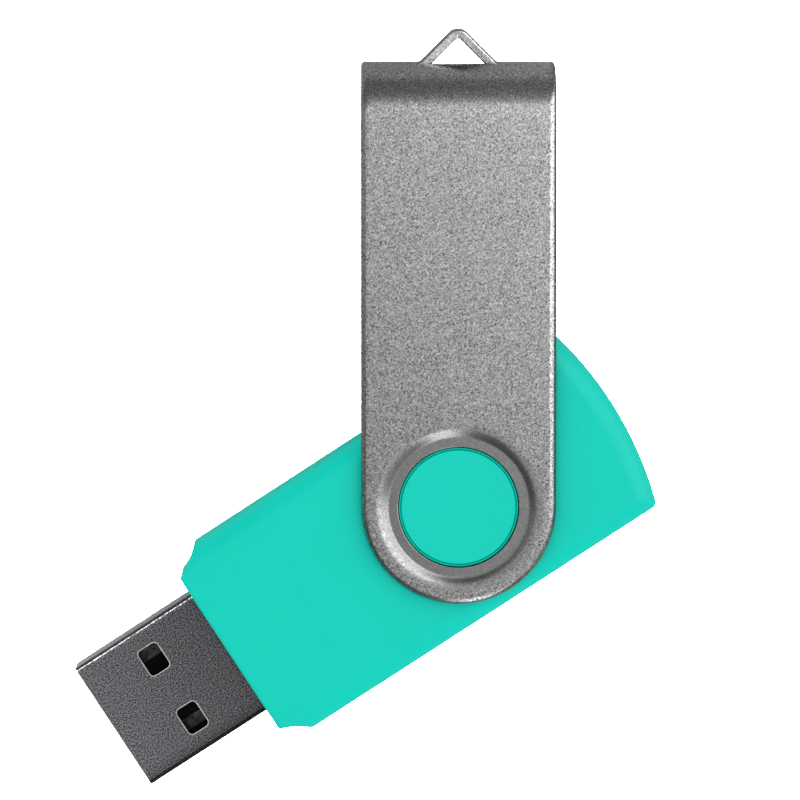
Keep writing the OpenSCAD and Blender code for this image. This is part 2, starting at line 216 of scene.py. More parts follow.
# Linear colours
BLACK = (0, 0, 0, 1)
WHITE = (1, 1, 1, 1)
CASING_TINT = (0, 0.68, 0.545, 1)
CASING_SHADE = (0, 0.665, 0.533, 1)
CASING_WORN = (0.04, 0.76, 0.64, 1)
COVER_DARK = (0.09, 0.09, 0.092, 1)
COVER_LIGHT = (0.74, 0.74, 0.745, 1)
# The plug's two steel tones are painted darker than steel, as a painted reflection of dark surroundings
PLUG_DARK = (0.02, 0.021, 0.023, 1)
PLUG_LIGHT = (0.235, 0.24, 0.249, 1)
# The plug's palest colour is partly edge wear and partly painted highlight and painted reflection
PLUG_WEAR_AND_HIGHLIGHT = (0.95, 0.955, 0.97, 1)

# Camera: the point it looks at is given from the pivot
CAMERA_AIM = Vector((-0.63, -10.05, 0))
CAMERA_AZIMUTH = math.radians(-26.8)
CAMERA_ELEVATION = math.radians(84.81)
CAMERA_DISTANCE = 447.8
CAMERA_LENS = 234.6
SENSOR_W = 36
CLIP_START = 10

# Stage: levels seen by the camera, by a reflection and by a matt surface
FLOOR_LEVELS = (12.0, 0.44, 1.0)
WORLD_LEVELS = (1.0, 0.18, 0.92)
FLOOR_HALF_W = 900
FLOOR_GAP = 0.01
LIGHT_DISTANCE = 900


# ---------------------------------------------------------------- mesh helpers

def mesh_object(name, bm):
    """A new object with the bmesh, which is in millimetres."""
    bmesh.ops.recalc_face_normals(bm, faces=bm.faces)
    mesh = bpy.data.meshes.new(name)
    bm.to_mesh(mesh)
    bm.free()
    piece = bpy.data.objects.new(name, mesh)
    bpy.context.scene.collection.objects.link(piece)
    return piece


def loops_to_solid(bm, rings):
    """Joins closed rings of points one after the other and caps the first and the last."""
    rows = [[bm.verts.new(point) for point in ring] for ring in rings]
    count = len(rows[0])
    for low, high in zip(rows, rows[1:]):
        for i in range(count):
            j = (i + 1) % count
            bm.faces.new((low[i], low[j], high[j], high[i]))
    bm.faces.new(rows[0])
    bm.faces.new(rows[-1])


def prism(name, outline, along, start, end):
    """A solid with a constant outline of 2D points, from start to end along the axis 'x' or 'z'."""
    def place(point, at):
        return Vector((at, point[0], point[1])) if along == "x" else Vector((point[0], point[1], at))

    bm = bmesh.new()
    loops_to_solid(bm, [[place(point, at) for point in outline] for at in (start, end)])
    return mesh_object(name, bm)


def lathe(name, centre, profile, count):
    """A solid turned about the vertical axis through centre in count steps, from (radius, height) pairs."""
    bm = bmesh.new()
    turns = [2 * math.pi * i / count for i in range(count)]
    rings = [
        [Vector((centre.x + r * math.cos(a), centre.y + r * math.sin(a), z)) for a in turns]
        for r, z in profile
    ]
    loops_to_solid(bm, rings)
    return mesh_object(name, bm)


def rounded_rectangle(half_w, half_h, radius, steps=8):
    """Points round a rectangle with rounded corners, centred on the origin."""
    points = []
    for quarter, (sx, sy) in enumerate(((1, 1), (-1, 1), (-1, -1), (1, -1))):
        for i in range(steps + 1):
            a = math.pi / 2 * (quarter + i / steps)
            points.append((
                sx * (half_w - radius) + radius * math.cos(a),
                sy * (half_h - radius) + radius * math.sin(a),
            ))
    return points


def combine(piece, operation, *tools):
    """Cuts the tools from the piece, or joins them to it, and throws the tools away."""
    for tool in tools:
        step = piece.modifiers.new("combine", "BOOLEAN")
        step.operation = operation
        step.solver = "MANIFOLD"
        step.object = tool
        apply_modifiers(piece)
        bpy.data.objects.remove(tool)


def apply_modifiers(piece):
    """Puts the result of the piece's modifiers into its mesh."""
    bpy.context.view_layer.update()
    result = piece.evaluated_get(bpy.context.evaluated_depsgraph_get())
    mesh = bpy.data.meshes.new_from_object(result)
    piece.modifiers.clear()
    piece.data = mesh
    mesh.name = piece.name


def finish_piece(piece, body, slot_name, *nodes):
    """Shrinks a millimetre piece to metres and makes it stand for the CAD nodes."""
    piece.data.transform(Matrix.Scale(MM, 4))
    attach(piece, body)
    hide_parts(*nodes)


def smooth_by_angle(piece, degrees):
    """Shades the piece smooth, apart from edges that turn by more than the angle."""
    bm = bmesh.new()
    bm.from_mesh(piece.data)
    for face in bm.faces:
        face.smooth = True
    for edge in bm.edges:
        edge.smooth = len(edge.link_faces) == 2 and edge.calc_face_angle() < math.radians(degrees)
    bm.to_mesh(piece.data)
    bm.free()


def weigh_normals(piece):
    """Keeps large flat faces flat next to small rounded ones."""
    step = piece.modifiers.new("weighted normals", "WEIGHTED_NORMAL")
    step.keep_sharp = True
    step.weight = 100


# ---------------------------------------------------------------- casing

def line(start, end):
    """A straight stretch of an outline as (function of 0 to 1, length)."""
    start, end = Vector(start), Vector(end)
    return lambda t: start.lerp(end, t), (end - start).length


def arc(centre, radius, start, end):
    """A round stretch of an outline as (function of 0 to 1, length), with angles in radians."""
    def at(t):
        a = start + (end - start) * t
        return Vector((centre[0] + radius * math.cos(a), centre[1] + radius * math.sin(a)))

    return at, radius * abs(end - start)


def half_path(stretches, counts, bends):
    """Points along stretches that follow one another.

    Each corner between two of them is rounded by a curve that starts and ends a bend's length from it.
    """
    points = []
    for i, ((at, length), count) in enumerate(zip(stretches, counts)):
        first = bends[i - 1] / length if i else 0
        last = 1 - bends[i] / length if i < len(bends) else 1
        points += [at(first + (last - first) * k / count) for k in range(count + 1)]
        if i < len(bends):
            following, following_length = stretches[i + 1]
            begin, corner, end = at(last), at(1), following(bends[i] / following_length)
            for k in range(1, CORNER_COUNT):
                t = k / CORNER_COUNT
                points.append((1 - t) ** 2 * begin + 2 * t * (1 - t) * corner + t * t * end)
    return points


def mirrored(half):
    """Closes a half outline, which starts and ends on the middle line, with its mirror image."""
    return half + [Vector((p.x, -p.y)) for p in reversed(half[1:-1])]


def end_arc(inset):
    """The rounded end, inset from the casing's outline, from its corner to the middle line."""
    radius = END_R - inset
    corner = math.asin((CASING_HALF_W - inset) / radius)
    return arc((END_X, 0), radius, math.pi - corner, math.pi)


def notch_arc():
    """The cut-away of the front corner, from the front face to the long side."""
    start = Vector((CASING_FRONT, CASING_HALF_W - NOTCH_W))
    end = Vector((CASING_FRONT - NOTCH_L, CASING_HALF_W))
    chord = (end - start).length
    radius = (chord * chord / 4 + NOTCH_DIP ** 2) / (2 * NOTCH_DIP)
    outwards = Vector((NOTCH_W, NOTCH_L)) / chord
    centre = (start + end) / 2 + outwards * (radius - NOTCH_DIP)
    first = math.atan2(start.y - centre.y, start.x - centre.x)
    last = math.atan2(end.y - centre.y, end.x - centre.x)
    return arc(centre, radius, first % (2 * math.pi), last % (2 * math.pi))


def casing_outlines():
    """The casing's outline, the edge of its flat top, and the radius of the small rounding at each point.

    The radius is 0 along the sides and the end, where only the wide rounding runs.
    """
    flat_y = CASING_HALF_W - EDGE_R
    flat_x = CASING_FRONT - FRONT_EDGE_R
    notch_x = CASING_FRONT - NOTCH_L
    outer_end, inner_end = end_arc(0), end_arc(EDGE_R)
    outer = half_path(
        [
            line((CASING_FRONT, 0), (CASING_FRONT, CASING_HALF_W - NOTCH_W)),
            notch_arc(),
            line((notch_x, CASING_HALF_W), outer_end[0](0)),
            outer_end,
        ],
        OUTLINE_COUNTS, OUTER_BENDS,
    )
    inner = half_path(
        [
            line((flat_x, 0), (flat_x, flat_y)),
            line((flat_x, flat_y), (notch_x, flat_y)),
            line((notch_x, flat_y), inner_end[0](0)),
            inner_end,
        ],
        OUTLINE_COUNTS, FLAT_BENDS,
    )
    front_count = OUTLINE_COUNTS[0]
    notch_count = front_count + CORNER_COUNT + OUTLINE_COUNTS[1]
    fillets = []
    for i in range(len(outer)):
        if i <= front_count:
            fillets.append(FRONT_EDGE_R)
        elif i <= notch_count:
            fillets.append(NOTCH_EDGE_R)
        elif i < notch_count + CORNER_COUNT:
            fillets.append(NOTCH_EDGE_R * (notch_count + CORNER_COUNT - i) / CORNER_COUNT)
        else:
            fillets.append(0)
    return mirrored(outer), mirrored(inner), fillets + list(reversed(fillets[1:-1]))


def quarter_drop(radius, distance):
    """How far a rounded edge lies below its flat, at a distance in from the edge's wall."""
    if distance >= radius:
        return 0
    return radius - math.sqrt(max(radius ** 2 - (radius - distance) ** 2, 0))


def casing_height(outer, point, share, fillet):
    """Height of the casing's skin at a point, which lies at a share of the way in from the outline."""
    if fillet > 0:
        side = quarter_drop(EDGE_R, CASING_HALF_W - abs(point.y))
        return CASING_TOP - side - quarter_drop(fillet, (point - outer).length)
    return CASING_TOP - quarter_drop(1, share) * EDGE_R


def casing_blank():
    """The upper half of the casing before it is hollowed out."""
    outers, inners, fillets = casing_outlines()
    shares = [1 - math.cos(math.pi / 2 * k / EDGE_STEPS) for k in range(EDGE_STEPS + 1)]
    rings = []
    for height, inset in ((0, SEAM), (SEAM, 0)):
        rings.append([
            (outer + (inner - outer).normalized() * inset).to_3d() + Vector((0, 0, height))
            for outer, inner in zip(outers, inners)
        ])
    for share in shares:
        ring = []
        for outer, inner, fillet in zip(outers, inners, fillets):
            point = outer.lerp(inner, share)
            ring.append(Vector((point.x, point.y, casing_height(outer, point, share, fillet))))
        rings.append(ring)
    bm = bmesh.new()
    loops_to_solid(bm, rings)
    return mesh_object("casing_blank", bm)


def cavity():
    """The hollow inside half of the casing."""
    half_w = CASING_HALF_W - WALL
    front = CASING_FRONT - FRONT_WALL
    rear = end_arc(WALL)
    half = half_path(
        [line((front, 0), (front, half_w)), line((front, half_w), rear[0](0)), rear],
        (1, 1, OUTLINE_COUNTS[-1]), (CAVITY_CORNER, CAVITY_END_CORNER),
    )
    return prism("cavity", mirrored(half), "z", -OVERCUT, CAVITY_TOP)


def plug_slot():
    """The opening in the front wall that holds the plug."""
    outline = rounded_rectangle(PLUG_HALF_W + PLUG_GAP, PLUG_HALF_H + PLUG_GAP, SHELL_R + PLUG_GAP)
    start, end = CASING_FRONT - FRONT_WALL - OVERCUT, CASING_FRONT + OVERCUT
    return prism("plug_slot", outline, "x", start, end)


def boss():
    """The round boss that turns in the cover's hole, with a fine groove near its rim."""
    root = CAVITY_TOP + WALL / 2
    groove_low = BOSS_TOP - BOSS_GROOVE_DEPTH
    groove_in, groove_out = BOSS_GROOVE_R - BOSS_GROOVE_W / 2, BOSS_GROOVE_R + BOSS_GROOVE_W / 2
    edge = BOSS_EDGE_R
    return lathe("boss", pivot, [
        (BOSS_R, root), (BOSS_R, BOSS_TOP - edge), (BOSS_R - edge / 3, BOSS_TOP - edge / 3),
        (BOSS_R - edge, BOSS_TOP), (groove_out, BOSS_TOP), (BOSS_GROOVE_R, groove_low),
        (groove_in, BOSS_TOP),
    ], BOSS_SIDES)


def at_pegs():
    """Places of the four pegs."""
    return [Vector((x, side * PEG_Y, 0)) for x in PEG_XS for side in (-1, 1)]


def casing_half():
    """Hollow half of the casing with its boss, open towards the other half."""
    half = casing_blank()
    combine(half, "DIFFERENCE", cavity(), plug_slot())
    combine(half, "UNION", boss())
    return half


def finish_casing(half, name, node):
    """Shades half of the casing and makes it stand for its CAD node."""
    half.name = name
    smooth_by_angle(half, CASING_SMOOTH)
    weigh_normals(half)
    finish_piece(half, "drive", "casing_plastic", node)
    return half


def upper_casing():
    """The upper half, whose sleeves hold the board down."""
    half = casing_half()
    roof = CAVITY_TOP + WALL / 2
    for place in at_pegs():
        sleeve_profile = [(NOSE_R, NOSE_LOW), (NOSE_R, 0), (POST_R, 0), (POST_R, roof)]
        hole_profile = [(PEG_HOLE_R, -OVERCUT), (PEG_HOLE_R, PEG_TOP + PEG_HEADROOM)]
        sleeve = lathe("sleeve", place, sleeve_profile, POST_SIDES)
        hole = lathe("hole", place, hole_profile, POST_SIDES)
        combine(half, "UNION", sleeve)
        combine(half, "DIFFERENCE", hole)
    return finish_casing(half, "casing_upper_half", "upper_casing")


def lower_casing():
    """The lower half, whose posts carry the board and whose pegs enter the sleeves."""
    half = casing_half()
    half.data.transform(Matrix.Diagonal((1, 1, -1, 1)))
    half.data.flip_normals()
    floor_z = -CAVITY_TOP - WALL / 2
    for place in at_pegs():
        post = lathe("post", place, [
            (POST_R, floor_z), (POST_R, board_low.z), (PEG_R, board_low.z),
            (PEG_R, PEG_TOP - PEG_BEVEL), (PEG_R - PEG_BEVEL, PEG_TOP),
        ], POST_SIDES)
        combine(half, "UNION", post)
    return finish_casing(half, "casing_lower_half", "lower_casing")


# ---------------------------------------------------------------- cover

class Sheet:
    """A formed sheet. Each point of its flat pattern becomes one on the inner and one on the outer face."""

    def __init__(self):
        self.index = {}
        self.outer = []
        self.inner = []
        self.edges = []
        self.cells = []

    def point(self, key, form, edges=(HOLE_EDGE, HOLE_EDGE)):
        """The number of the point with this key.

        form(depth) places it, with depth 0 midway through the sheet. The edges are the radii of the outer
        and the inner edge there, if the sheet ends at the point.
        """
        if key not in self.index:
            self.index[key] = len(self.outer)
            self.outer.append(form(SHEET_T / 2))
            self.inner.append(form(-SHEET_T / 2))
            self.edges.append(edges)
        return self.index[key]

    def cell(self, *corners):
        """Adds a patch of the sheet between numbered points."""
        self.cells.append(corners)

    def solid(self, name):
        """The sheet as a closed mesh, whose edges are weighed by their radii as shares of SHEET_EDGE."""
        bm = bmesh.new()
        weight = bm.edges.layers.float.new("bevel_weight_edge")
        count = len(self.outer)
        verts = [bm.verts.new(p) for p in self.outer + self.inner]
        for corners in self.cells:
            bm.faces.new([verts[i] for i in corners])
            bm.faces.new([verts[i + count] for i in reversed(corners)])
        bm.verts.index_update()
        open_edges = [e for e in bm.edges if len(e.link_faces) == 1 and e.verts[0].index < count]
        for edge in open_edges:
            a, b = edge.verts[0].index, edge.verts[1].index
            bm.faces.new((verts[a], verts[b], verts[b + count], verts[a + count]))
            twin = bm.edges.get((verts[a + count], verts[b + count]))
            for face_edge, radii in zip((edge, twin), zip(self.edges[a], self.edges[b])):
                face_edge[weight] = min(radii) / SHEET_EDGE
        return mesh_object(name, bm)


def dish(radius):
    """How far the dished ring lies below the arm, at a radius from the pivot."""
    share = min(max((DISH_RIM_R - radius) / (DISH_RIM_R - DISH_FLOOR_R), 0), 1)
    swell = 1 + DISH_SWELL * (1 - share ** DISH_SWELL_POWER)
    return DISH_DEPTH * share ** DISH_POWER * swell


def form_sheet(u, y):
    """Places a point of the flat pattern: u runs along the strip from the bend's middle, y across it."""
    def form(depth):
        if abs(u) < BEND_HALF_L:
            a = u / BEND_MID_R
            r = BEND_MID_R + depth
            return Vector((BEND_X + r * math.cos(a), y, r * math.sin(a)))
        x = BEND_X - (abs(u) - BEND_HALF_L)
        z = BEND_MID_R + depth - dish(math.hypot(x, y))
        return Vector((x, y, math.copysign(z, u)))

    return form


def across():
    """Places across the strip: even steps up to the eye's root, then even steps to the edge."""
    root, beside = eye_root(), COVER_HALF_W - eye_root()
    half = [root * k / EYE_ROOT_COLUMNS for k in range(EYE_ROOT_COLUMNS + 1)]
    half += [root + beside * k / EYE_SIDE_COLUMNS for k in range(1, EYE_SIDE_COLUMNS + 1)]
    return [-y for y in reversed(half[1:])] + half


def rim_edges(u, on_rim):
    """Radii of the outer and the inner edge. The outer one is larger on the arms than on the bend."""
    if not on_rim:
        return HOLE_EDGE, HOLE_EDGE
    share = min(abs(u) / BEND_HALF_L, 1)
    return BEND_EDGE + (SHEET_EDGE - BEND_EDGE) * share, INNER_EDGE


def at_long_edge(y):
    """True on the two long edges of the strip."""
    return abs(abs(y) - COVER_HALF_W) < TINY


def add_flat(sheet, u, y, on_rim):
    """The number of the sheet's point at u, y of the flat pattern."""
    return sheet.point((round(u, 5), round(y, 5)), form_sheet(u, y), rim_edges(u, on_rim))


def add_strip(sheet, rows):
    """The straight arms and the bend, without the strip that forms the eye."""
    root = eye_root()
    columns = across()
    for u0, u1 in zip(rows, rows[1:]):
        for y0, y1 in zip(columns, columns[1:]):
            middle_u, middle_y = abs(u0 + u1) / 2, abs(y0 + y1) / 2
            if middle_u < EYE_H / 2 + EYE_GAP and middle_y < root:
                continue
            corners = ((u0, y0), (u1, y0), (u1, y1), (u0, y1))
            sheet.cell(*[add_flat(sheet, u, y, at_long_edge(y)) for u, y in corners])


def pivot_end_outline():
    """Points round the end of an arm, seen from the pivot: across the strip, then round its rounded end."""
    toward_bend = [Vector((COVER_HALF_W, y)) for y in across()]
    shares = [1 - k / SIDE_STEPS for k in range(1, SIDE_STEPS)]
    edge_up = [Vector((COVER_HALF_W * share, COVER_HALF_W)) for share in shares]
    turns = [math.pi / 2 + math.pi * k / ROUND_END_STEPS for k in range(ROUND_END_STEPS + 1)]
    round_end = [Vector((math.cos(a), math.sin(a))) * COVER_HALF_W for a in turns]
    edge_down = [Vector((p.x, -p.y)) for p in reversed(edge_up)]
    return toward_bend + edge_up + round_end + edge_down


def add_pivot_end(sheet, side):
    """The rounded end with its hole and dished ring, on the arm of the given side."""
    outline = pivot_end_outline()
    ring_w, wall = DISH_FLOOR_R - RING_GAP - HOLE_R, DISH_RIM_R - DISH_FLOOR_R
    radii = [HOLE_R + ring_w * k / RING_STEPS for k in range(RING_STEPS + 1)]
    radii += [DISH_FLOOR_R + wall * (k / WALL_STEPS) ** 2 for k in range(WALL_STEPS + 1)]
    rings = [[edge.normalized() * radius for edge in outline] for radius in radii]
    rows = []
    for ring in rings:
        rows.append([add_flat(sheet, side * (PIVOT_U - p.x), p.y, False) for p in ring])
    last = []
    for p in outline:
        on_rim = at_long_edge(p.y) or abs(p.x - COVER_HALF_W) > TINY
        last.append(add_flat(sheet, side * (PIVOT_U - p.x), p.y, on_rim))
    rows.append(last)
    count = len(outline)
    for inside, outside in zip(rows, rows[1:]):
        for i in range(count):
            j = (i + 1) % count
            sheet.cell(inside[i], inside[j], outside[j], outside[i])


def eye_root():
    """How far from the middle of the strip the eye's feet leave the sheet."""
    peak_y = EYE_PEAK_R * math.sin(EYE_SLOPE)
    peak_rise = EYE_RISE - EYE_PEAK_R * (1 - math.cos(EYE_SLOPE))
    return peak_y + peak_rise + EYE_FOOT_R * math.tan(EYE_SLOPE / 2)


def eye_path():
    """Half of the eye's middle surface, foot to peak, as (y, rise, normal y, normal rise)."""
    root = eye_root()
    path = [(root, 0.0, 0.0, 1.0)]
    for k in range(1, EYE_STEPS):
        a = EYE_SLOPE * k / (EYE_STEPS - 1)
        y, rise = root - EYE_FOOT_R * math.sin(a), EYE_FOOT_R * (1 - math.cos(a))
        path.append((y, rise, math.sin(a), math.cos(a)))
    for k in range(EYE_STEPS + 1):
        a = EYE_SLOPE * (1 - k / EYE_STEPS)
        y, rise = EYE_PEAK_R * math.sin(a), EYE_RISE - EYE_PEAK_R * (1 - math.cos(a))
        path.append((y, rise, math.sin(a), math.cos(a)))
    return path


def add_eye(sheet, rows):
    """The strip between the two slots, formed into the eye."""
    half = eye_path()
    path = [(-y, rise, -ny, nr) for y, rise, ny, nr in half[:-1]] + list(reversed(half))

    def form_eye(u, y, rise, ny, nr):
        a = u / BEND_MID_R

        def form(depth):
            r = BEND_MID_R + depth * nr
            return Vector((BEND_X + r * math.cos(a) + rise, y + depth * ny, r * math.sin(a)))

        return form

    def number(u, station):
        y, rise, ny, nr = path[station]
        if station in (0, len(path) - 1):
            return add_flat(sheet, u, y, False)
        key = ("eye", round(u, 5), station)
        return sheet.point(key, form_eye(u, y, rise, ny, nr), (EYE_EDGE, EYE_EDGE))

    for u0, u1 in zip(rows, rows[1:]):
        for s in range(len(path) - 1):
            sheet.cell(number(u0, s), number(u1, s), number(u1, s + 1), number(u0, s + 1))


def swivel_cover():
    """The cover: one strip of sheet with rounded ends, two dished holes, a bend and the eye."""
    eye_rows = [EYE_H * k / EYE_STEPS for k in range(-EYE_STEPS // 2, EYE_STEPS // 2 + 1)]
    slot_edge = EYE_H / 2 + EYE_GAP
    bend_rows = [slot_edge + (BEND_HALF_L - slot_edge) * k / BEND_STEPS for k in range(BEND_STEPS + 1)]
    arm_l = PIVOT_U - COVER_HALF_W - BEND_HALF_L
    arm_rows = [BEND_HALF_L + arm_l * k / ARM_STEPS for k in range(1, ARM_STEPS + 1)]
    rows = bend_rows + arm_rows
    rows = [-u for u in reversed(rows)] + eye_rows + rows
    sheet = Sheet()
    add_strip(sheet, rows)
    add_eye(sheet, eye_rows)
    for side in (-1, 1):
        add_pivot_end(sheet, side)
    cover = sheet.solid("cover_sheet")
    round_edges = cover.modifiers.new("round edges", "BEVEL")
    round_edges.limit_method = "WEIGHT"
    round_edges.width = SHEET_EDGE
    round_edges.segments = 6
    round_edges.use_clamp_overlap = False
    apply_modifiers(cover)
    smooth_by_angle(cover, METAL_SMOOTH)
    weigh_normals(cover)
    turn = Matrix.Rotation(math.atan2(cover_along.y, cover_along.x), 4, "Z")
    cover.data.transform(Matrix.Translation(pivot) @ turn)
    finish_piece(cover, "cover", "cover_aluminium", "swivel_cover")
    return cover


# ---------------------------------------------------------------- plug

def window_cutters():
    """Two prisms that cut the four windows, each through both faces."""
    cutters = []
    for side in (-1, 1):
        outline = [
            (WINDOW_X + x, side * WINDOW_PITCH / 2 + y)
            for x, y in rounded_rectangle(WINDOW_L / 2, WINDOW_W / 2, WINDOW_R)
        ]
        cutters.append(prism("window", outline, "z", -PLUG_HALF_H - OVERCUT, PLUG_HALF_H + OVERCUT))
    return cutters


def block(name, low, high):
    """A box between two corners, for joining to or cutting from another solid."""
    outline = [(low[1], low[2]), (high[1], low[2]), (high[1], high[2]), (low[1], high[2])]
    return prism(name, outline, "x", low[0], high[0])


def plug_shell():
    """The folded steel tube with its windows, its seam and its two legs."""
    tube_end = shell_low.x + SHELL_LEG_L
    cut_start, cut_end = tube_end - OVERCUT, shell_high.x + OVERCUT
    outline = rounded_rectangle(PLUG_HALF_W, PLUG_HALF_H, SHELL_R, SHELL_CORNER_STEPS)
    shell = prism("shell", outline, "x", tube_end, shell_high.x)
    inside_w, inside_h = PLUG_HALF_W - SHELL_T, PLUG_HALF_H - SHELL_T
    inside_outline = rounded_rectangle(inside_w, inside_h, SHELL_R - SHELL_T, SHELL_CORNER_STEPS)
    inside = prism("inside", inside_outline, "x", cut_start, cut_end)
    seam_low = (cut_start, -SHELL_SEAM / 2, -PLUG_HALF_H - OVERCUT)
    seam_high = (cut_end, SHELL_SEAM / 2, -inside_h + SHELL_SEAM_OVERCUT)
    seam = block("seam", seam_low, seam_high)
    combine(shell, "DIFFERENCE", inside, seam, *window_cutters())
    for side in (-1, 1):
        near, far = sorted((side * inside_w, side * PLUG_HALF_W))
        leg_low = (shell_low.x, near, SHELL_LEG_LOW)
        leg_high = (tube_end + SHELL_LEG_OVERLAP, far, SHELL_LEG_HIGH)
        leg = block("leg", leg_low, leg_high)
        combine(shell, "UNION", leg)
    shell.name = "plug_shell_formed"
    edges = shell.modifiers.new("rounded edges", "BEVEL")
    edges.limit_method = "ANGLE"
    edges.angle_limit = math.radians(METAL_SMOOTH)
    edges.width = SHELL_EDGE
    edges.segments = 3
    apply_modifiers(shell)
    smooth_by_angle(shell, METAL_SMOOTH)
    weigh_normals(shell)
    finish_piece(shell, "drive", "plug_steel", "plug_shell")
    return shell


# ---------------------------------------------------------------- materials

def linear(level):
    """The linear value of a display level between 0 and 255."""
    value = level / 255
    return value / 12.92 if value <= 0.04045 else ((value + 0.055) / 1.055) ** 2.4


def grey(level):
    """A linear grey from a display level."""
    return (linear(level), linear(level), linear(level), 1)


def colour(red, green, blue):
    """A linear colour from display levels."""
    return (linear(red), linear(green), linear(blue), 1)


class Surface:
    """A procedural material: short calls add its nodes and join them to one Principled shader."""

    def __init__(self, name):
        self.material = bpy.data.materials.new(name)
        self.material.use_nodes = True
        self.tree = self.material.node_tree
        self.shader = self.tree.nodes["Principled BSDF"]
        self.place = self.add("ShaderNodeTexCoord").outputs["Object"]

    def add(self, kind, **settings):
        """Adds a node with its settings."""
        node = self.tree.nodes.new(kind)
        for name, value in settings.items():
            setattr(node, name, value)
        return node

    def put(self, socket, value):
        """Joins a socket to another, or gives it a value."""
        if isinstance(value, bpy.types.NodeSocket):
            self.tree.links.new(value, socket)
        else:
            socket.default_value = value

    def set(self, **inputs):
        """Sets inputs of the Principled shader, with _ for each space in a name."""
        for name, value in inputs.items():
            self.put(self.shader.inputs[name.replace("_", " ")], value)

    def math(self, operation, a, b=0.0):
        """The result of a math operation on one or two values."""
        node = self.add("ShaderNodeMath", operation=operation)
        self.put(node.inputs[0], a)
        self.put(node.inputs[1], b)
        return node.outputs[0]

    def fit(self, value, low, high, to_low=0.0, to_high=1.0):
        """Fits a value from one range to another, held at its ends."""
        node = self.add("ShaderNodeMapRange", clamp=True)
        for socket, number in zip(node.inputs, (value, low, high, to_low, to_high)):
            self.put(socket, number)
        return node.outputs[0]

    def mix(self, share, a, b):
        """Blends two colours."""
        node = self.add("ShaderNodeMix", data_type="RGBA")
        for number, value in ((0, share), (6, a), (7, b)):
            self.put(node.inputs[number], value)
        return node.outputs[2]

    def place_xyz(self):
        """The place on the object as its three numbers, in metres."""
        split = self.add("ShaderNodeSeparateXYZ")
        self.put(split.inputs[0], self.place)
        return split.outputs

    def stretched(self, stretch):
        """The place on the object, squeezed along each axis by the stretch."""
        node = self.add("ShaderNodeVectorMath", operation="DIVIDE")
        self.put(node.inputs[0], self.place)
        node.inputs[1].default_value = stretch
        return node.outputs[0]

    def noise(self, size, detail, stretch=(1, 1, 1)):
        """Soft noise whose lumps are about size millimetres across."""
        node = self.add("ShaderNodeTexNoise")
        self.put(node.inputs["Vector"], self.stretched(stretch))
        self.put(node.inputs["Scale"], 1 / (size * MM))
        self.put(node.inputs["Detail"], detail)
        return node.outputs["Fac"]

    def cells(self, size):
        """A random shade for each cell of about size millimetres."""
        node = self.add("ShaderNodeTexVoronoi")
        self.put(node.inputs["Vector"], self.place)
        self.put(node.inputs["Scale"], 1 / (size * MM))
        split = self.add("ShaderNodeSeparateColor")
        self.put(split.inputs[0], node.outputs["Color"])
        return split.outputs[0]

    def edges(self, radius):
        """1 on edges that turn within radius millimetres, 0 on flat faces."""
        rounded = self.add("ShaderNodeBevel", samples=4)
        self.put(rounded.inputs["Radius"], radius * MM)
        flat = self.add("ShaderNodeNewGeometry")
        node = self.add("ShaderNodeVectorMath", operation="DOT_PRODUCT")
        self.put(node.inputs[0], rounded.outputs[0])
        self.put(node.inputs[1], flat.outputs["True Normal"])
        return self.fit(node.outputs["Value"], 0.995, 0.9)

    def bump(self, height, depth, strength=1.0):
        """Raises the surface by height times depth millimetres."""
        node = self.add("ShaderNodeBump")
        self.put(node.inputs["Strength"], strength)
        self.put(node.inputs["Distance"], depth * MM)
        self.put(node.inputs["Height"], height)
        self.set(Normal=node.outputs[0])


def casing_plastic():
    """Smooth satin moulded plastic with a very fine texture and slightly paler worn edges."""
    s = Surface("casing_plastic")
    clouds = s.noise(6, 3)
    base = s.mix(s.fit(clouds, 0.3, 0.7), CASING_SHADE, CASING_TINT)
    worn = s.math("MULTIPLY", s.edges(0.15), s.fit(s.noise(0.9, 3), 0.45, 0.7, 0, 0.35))
    s.set(Base_Color=s.mix(worn, base, CASING_WORN))
    s.set(Roughness=s.fit(s.noise(0.35, 2), 0.3, 0.7, 0.42, 0.5))
    s.set(IOR=1.45, Specular_IOR_Level=0.13)
    s.bump(s.noise(0.12, 2), 0.0025)
    return s.material


